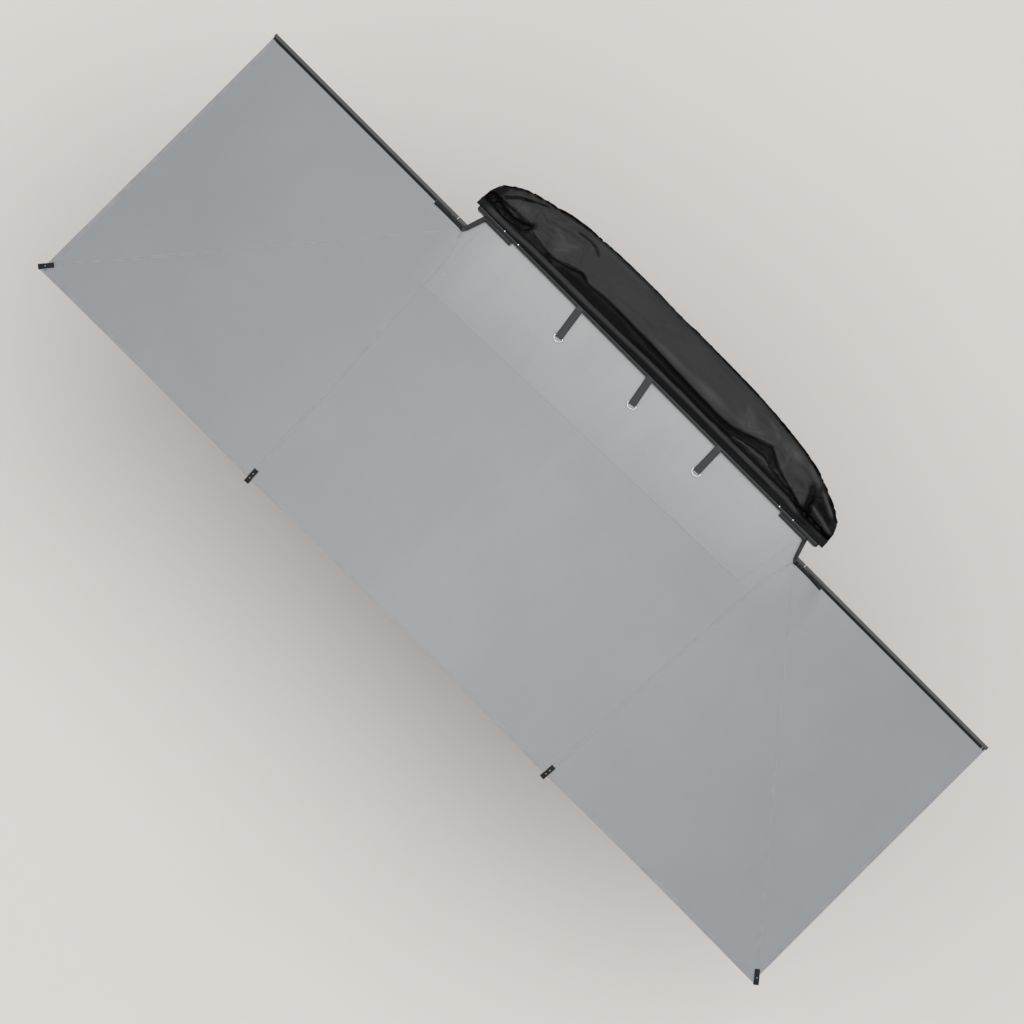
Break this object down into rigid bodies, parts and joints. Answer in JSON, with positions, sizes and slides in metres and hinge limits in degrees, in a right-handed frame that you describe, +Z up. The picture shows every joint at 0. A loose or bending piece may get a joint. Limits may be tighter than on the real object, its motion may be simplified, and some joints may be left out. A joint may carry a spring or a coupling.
{
  "type": "vehicle side awning",
  "caption": "Roof-rack side awning: a footed rail, folding rafters on end hinges, a sewn canopy, telescopic drop legs, and an open vinyl cover with strap rings.",
  "frame": {"origin": "on the underside of the middle mounting foot, at its centre", "axes": "+X along the rail, +Y towards the vehicle, +Z up; the open canopy reaches towards -Y"},
  "size_m": [5.1812, 2.1712, 0.1289],
  "materials": {
    "powder_coat": "dark grey powder coat",
    "coated_aluminium": "black powder coat on extruded aluminium",
    "black_plastic": "matt moulded nylon",
    "zinc_steel": "zinc plated",
    "bright_steel": "polished",
    "leg_aluminium": "anodised",
    "canvas": "woven coated canvas",
    "cover_sheet": "semi-gloss coated vinyl",
    "webbing": "woven webbing"
  },
  "bodies": {
    "root": {"rail": "coated_aluminium", "rail_end_cap_left": "black_plastic", "rail_end_cap_right": "black_plastic", "canvas_keder": "webbing", "cover_keder": "webbing", "mounting_foot_left": "zinc_steel", "mounting_foot_middle": "zinc_steel", "mounting_foot_right": "zinc_steel", "mounting_bolt_left": "bright_steel", "mounting_bolt_middle": "bright_steel", "mounting_bolt_right": "bright_steel", "hinge_bracket_left": "powder_coat", "hinge_bracket_right": "powder_coat", "hinge_bolt_left": "powder_coat", "hinge_bolt_right": "powder_coat", "hinge_nut_left": "zinc_steel", "hinge_nut_right": "zinc_steel", "canvas_centre": "canvas", "cover": "cover_sheet", "strap_left": "webbing", "strap_middle": "webbing", "strap_right": "webbing", "strap_ring_left": "bright_steel", "strap_ring_middle": "bright_steel", "strap_ring_right": "bright_steel"},
    "mid_arm_left": {"mid_clevis_left": "powder_coat", "mid_rafter_left": "coated_aluminium", "mid_tip_left": "black_plastic", "mid_leg_pin_left": "zinc_steel"},
    "corner_arm_left": {"corner_clevis_left": "powder_coat", "corner_rafter_left": "coated_aluminium", "corner_tip_left": "black_plastic", "corner_leg_pin_left": "zinc_steel", "canvas_corner_left": "canvas"},
    "side_arm_left": {"side_rafter_left": "coated_aluminium", "side_rafter_cap_left": "black_plastic", "side_hinge_strap_left": "powder_coat", "canvas_side_left": "canvas"},
    "mid_arm_right": {"mid_clevis_right": "powder_coat", "mid_rafter_right": "coated_aluminium", "mid_tip_right": "black_plastic", "mid_leg_pin_right": "zinc_steel"},
    "corner_arm_right": {"corner_clevis_right": "powder_coat", "corner_rafter_right": "coated_aluminium", "corner_tip_right": "black_plastic", "corner_leg_pin_right": "zinc_steel", "canvas_corner_right": "canvas"},
    "side_arm_right": {"side_rafter_right": "coated_aluminium", "side_rafter_cap_right": "black_plastic", "side_hinge_strap_right": "powder_coat", "canvas_side_right": "canvas"},
    "mid_leg_left": {"mid_leg_outer_left": "leg_aluminium"},
    "mid_foot_left": {"mid_leg_inner_left": "leg_aluminium"},
    "corner_leg_left": {"corner_leg_outer_left": "leg_aluminium"},
    "corner_foot_left": {"corner_leg_inner_left": "leg_aluminium"},
    "mid_leg_right": {"mid_leg_outer_right": "leg_aluminium"},
    "mid_foot_right": {"mid_leg_inner_right": "leg_aluminium"},
    "corner_leg_right": {"corner_leg_outer_right": "leg_aluminium"},
    "corner_foot_right": {"corner_leg_inner_right": "leg_aluminium"}
  },
  "joints": [
    {"name": "fold_mid_left", "type": "hinge", "parent": "root", "child": "mid_arm_left", "pos_m": [-1.188, -0.212, 0.064], "axis": [0, 0, 1], "range_deg": [0, 86.68], "deforming": ["canvas_centre"]},
    {"name": "fold_corner_left", "type": "hinge", "parent": "mid_arm_left", "child": "corner_arm_left", "pos_m": [-1.188, -0.212, 0.064], "axis": [0, 0, 1], "range_deg": [0, 43.37], "deforming": ["canvas_corner_left"]},
    {"name": "fold_side_left", "type": "hinge", "parent": "corner_arm_left", "child": "side_arm_left", "pos_m": [-1.188, -0.212, 0.064], "axis": [0, 0, 1], "range_deg": [0, 49.97], "deforming": ["canvas_side_left"]},
    {"name": "fold_mid_right", "type": "hinge", "parent": "root", "child": "mid_arm_right", "pos_m": [1.188, -0.212, 0.021], "axis": [0, 0, -1], "range_deg": [0, 86.68]},
    {"name": "fold_corner_right", "type": "hinge", "parent": "mid_arm_right", "child": "corner_arm_right", "pos_m": [1.188, -0.212, 0.021], "axis": [0, 0, -1], "range_deg": [0, 43.37], "deforming": ["canvas_corner_right"]},
    {"name": "fold_side_right", "type": "hinge", "parent": "corner_arm_right", "child": "side_arm_right", "pos_m": [1.188, -0.212, 0.021], "axis": [0, 0, -1], "range_deg": [0, 49.97], "deforming": ["canvas_side_right"]},
    {"name": "leg_swing_mid_left", "type": "hinge", "parent": "mid_arm_left", "child": "mid_leg_left", "pos_m": [-1.06348, -1.88248, 0.064], "axis": [0.9983, 0.058, 0], "range_deg": [-90, 0]},
    {"name": "leg_slide_mid_left", "type": "slide", "parent": "mid_leg_left", "child": "mid_foot_left", "axis": [-0.058, 0.9983, 0], "range_m": [0, 0.85]},
    {"name": "leg_swing_corner_left", "type": "hinge", "parent": "corner_arm_left", "child": "corner_leg_left", "pos_m": [-2.57183, -1.85896, 0.064], "axis": [0.7656, -0.6433, 0], "range_deg": [-90, 0]},
    {"name": "leg_slide_corner_left", "type": "slide", "parent": "corner_leg_left", "child": "corner_foot_left", "axis": [0.6433, 0.7656, 0], "range_m": [0, 0.85]},
    {"name": "leg_swing_mid_right", "type": "hinge", "parent": "mid_arm_right", "child": "mid_leg_right", "pos_m": [1.06348, -1.88248, 0.021], "axis": [0.9983, -0.058, 0], "range_deg": [-90, 0]},
    {"name": "leg_slide_mid_right", "type": "slide", "parent": "mid_leg_right", "child": "mid_foot_right", "axis": [0.058, 0.9983, 0], "range_m": [0, 0.85]},
    {"name": "leg_swing_corner_right", "type": "hinge", "parent": "corner_arm_right", "child": "corner_leg_right", "pos_m": [2.57183, -1.85896, 0.021], "axis": [0.7656, 0.6433, 0], "range_deg": [-90, 0]},
    {"name": "leg_slide_corner_right", "type": "slide", "parent": "corner_leg_right", "child": "corner_foot_right", "axis": [-0.6433, 0.7656, 0], "range_m": [0, 0.85]}
  ],
  "couplings": [
    {"joint": "fold_corner_left", "follows": "fold_mid_left", "ratio": 0.50025},
    {"joint": "fold_side_left", "follows": "fold_mid_left", "ratio": 0.57641},
    {"joint": "fold_mid_right", "follows": "fold_mid_left", "ratio": 1},
    {"joint": "fold_corner_right", "follows": "fold_mid_left", "ratio": 0.50025},
    {"joint": "fold_side_right", "follows": "fold_mid_left", "ratio": 0.57641},
    {"joint": "leg_slide_mid_left", "follows": "leg_swing_mid_left", "m_per_rad": -0.54112},
    {"joint": "leg_slide_corner_left", "follows": "leg_swing_corner_left", "m_per_rad": -0.54112},
    {"joint": "leg_slide_mid_right", "follows": "leg_swing_mid_right", "m_per_rad": -0.54112},
    {"joint": "leg_slide_corner_right", "follows": "leg_swing_corner_right", "m_per_rad": -0.54112}
  ]
}
